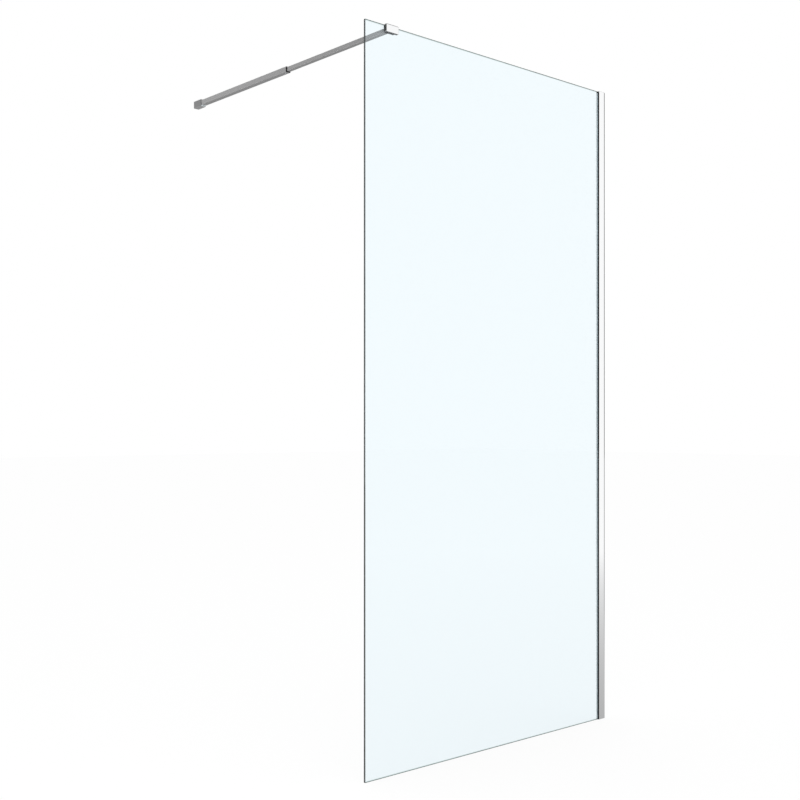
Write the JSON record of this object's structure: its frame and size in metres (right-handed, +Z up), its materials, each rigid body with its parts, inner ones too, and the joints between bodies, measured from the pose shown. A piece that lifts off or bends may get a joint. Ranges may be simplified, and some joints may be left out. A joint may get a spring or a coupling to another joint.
{
  "type": "walk-in shower screen",
  "caption": "Frameless clear glass shower screen in a bright wall channel, with a square telescopic support bar from a glass clamp to a wall bracket.",
  "frame": {"origin": "on the face of the wall that carries the channel, at the floor, in the middle plane of the glass", "axes": "+X into the wall that carries the channel, so the glass runs along -X; +Y through the glass into the shower, along the support bar; +Z up"},
  "size_m": [0.975, 0.953, 1.9532],
  "materials": {
    "polished_aluminium": "bright polished and anodised, mirror-like",
    "grey_plastic": "satin moulded plastic in silver grey",
    "clear_glass": "clear toughened glass with ground, polished edges",
    "black_rubber": "black extruded rubber",
    "white_nylon": "natural white nylon",
    "black_nylon": "black moulded nylon",
    "stainless_steel": "plain stainless steel",
    "cover_plastic": "chrome-look plated plastic",
    "chromed_brass": "bright chrome plate",
    "clear_pad": "translucent soft pad or seal",
    "polished_tube": "polished stainless square tube"
  },
  "bodies": {
    "wall_fixing": {"wall_channel": "polished_aluminium", "channel_top_cap": "grey_plastic"},
    "screen": {"glazing_profile": "polished_aluminium", "glass_panel": "clear_glass", "front_gasket": "black_rubber", "rear_gasket": "clear_pad", "edge_packers": "white_nylon", "profile_nuts": "stainless_steel", "profile_washers": "stainless_steel", "profile_screws": "stainless_steel", "screw_covers": "cover_plastic"},
    "bar_clamp": {"glass_clamp": "chromed_brass", "clamp_front_pad": "clear_pad", "clamp_rear_pad": "clear_pad", "clamp_top_pad": "clear_pad", "pressure_plate": "stainless_steel", "clamp_grub_screws": "stainless_steel", "inner_tube": "polished_tube", "inner_tube_screw": "stainless_steel", "tube_guide": "white_nylon"},
    "bar_end": {"outer_tube": "polished_tube", "mouth_bush": "black_nylon", "bar_lock_screw": "stainless_steel", "bracket_socket": "chromed_brass", "bracket_base": "stainless_steel", "bracket_screws": "stainless_steel"}
  },
  "joints": [
    {"name": "width_adjust", "type": "slide", "parent": "wall_fixing", "child": "screen", "axis": [-1, 0, 0], "range_m": [0, 0.015]},
    {"name": "clamp_place", "type": "slide", "parent": "screen", "child": "bar_clamp", "axis": [1, 0, 0], "range_m": [-0.055, 0.8]},
    {"name": "bar_telescope", "type": "slide", "parent": "bar_clamp", "child": "bar_end", "axis": [0, 1, 0], "range_m": [-0.225, 0.2]}
  ]
}
